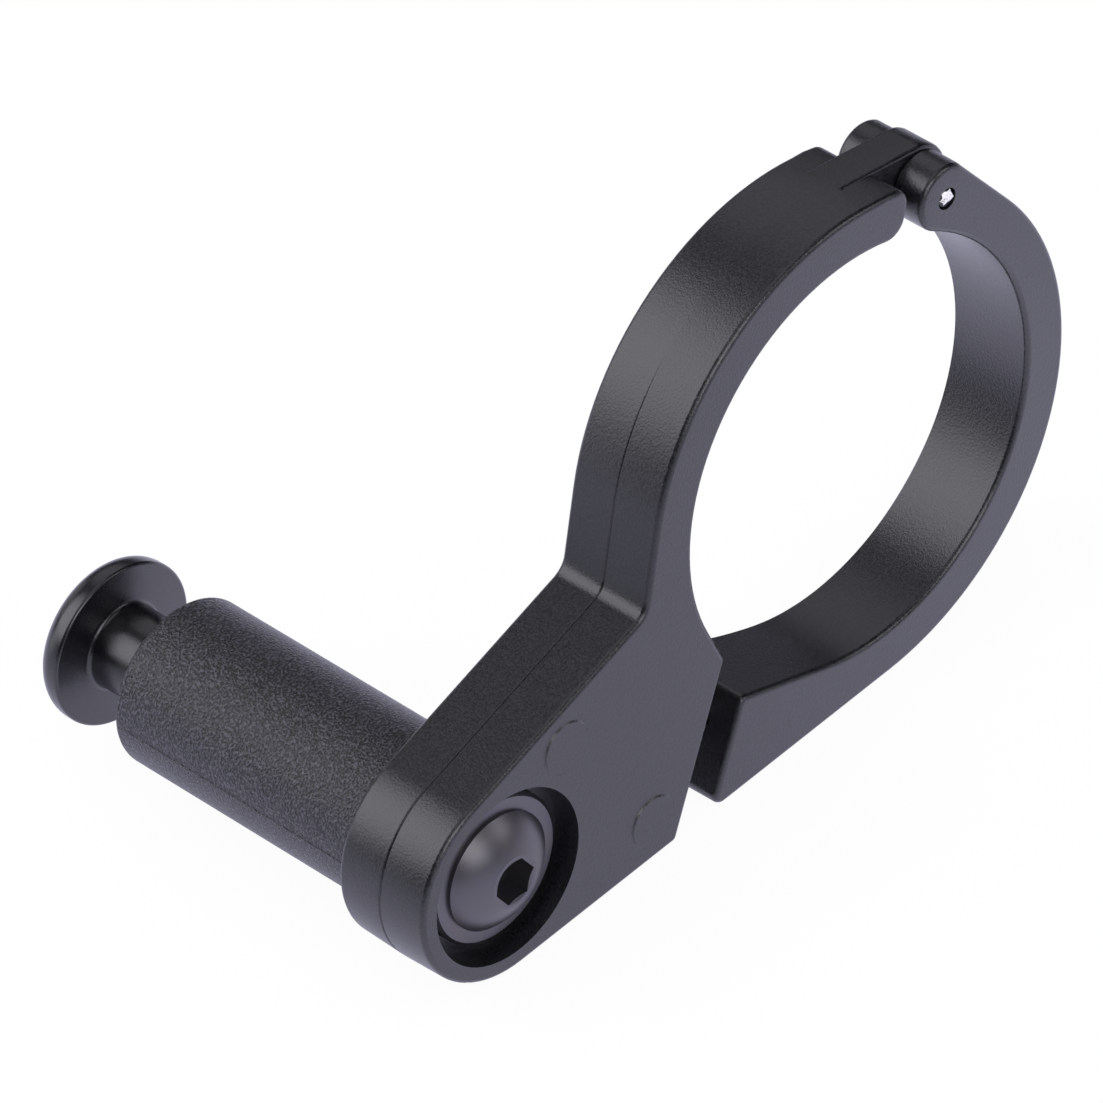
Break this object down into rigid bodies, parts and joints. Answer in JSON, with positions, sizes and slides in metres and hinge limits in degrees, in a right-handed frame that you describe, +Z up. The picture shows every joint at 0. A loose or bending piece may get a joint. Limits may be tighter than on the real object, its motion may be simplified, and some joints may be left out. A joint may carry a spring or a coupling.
{
  "type": "bicycle headlight bracket",
  "caption": "Black hinged handlebar clamp with a tapering side arm; a flanged button-head screw holds a spacer and a flanged spool, parallel to the bar, onto which a headlight slides.",
  "frame": {"origin": "centre of the handlebar bore, halfway through the clamp's width", "axes": "+Y along the handlebar, from the screw head's face towards the lamp spool; +Z up; the lamp arm points to -X"},
  "size_m": [0.0626, 0.0395, 0.039],
  "materials": {
    "moulded_nylon": "satin",
    "textured_nylon": "coarse spark-eroded",
    "coated_metal": "satin",
    "oxide_steel": "black oxide",
    "pin_steel": "sawn end",
    "insert_brass": "machined"
  },
  "bodies": {
    "bracket": {"clamp_body": "moulded_nylon", "hinge_pin": "pin_steel", "clamp_insert": "insert_brass", "spacer_sleeve": "textured_nylon", "lamp_nut": "coated_metal", "lamp_screw": "oxide_steel"},
    "strap": {"clamp_strap": "moulded_nylon", "clamp_screw": "oxide_steel"}
  },
  "joints": [
    {"name": "strap_hinge", "type": "hinge", "parent": "bracket", "child": "strap", "pos_m": [0.01033, 0, 0.01517], "axis": [0, -1, 0], "range_deg": [0, 90]}
  ]
}
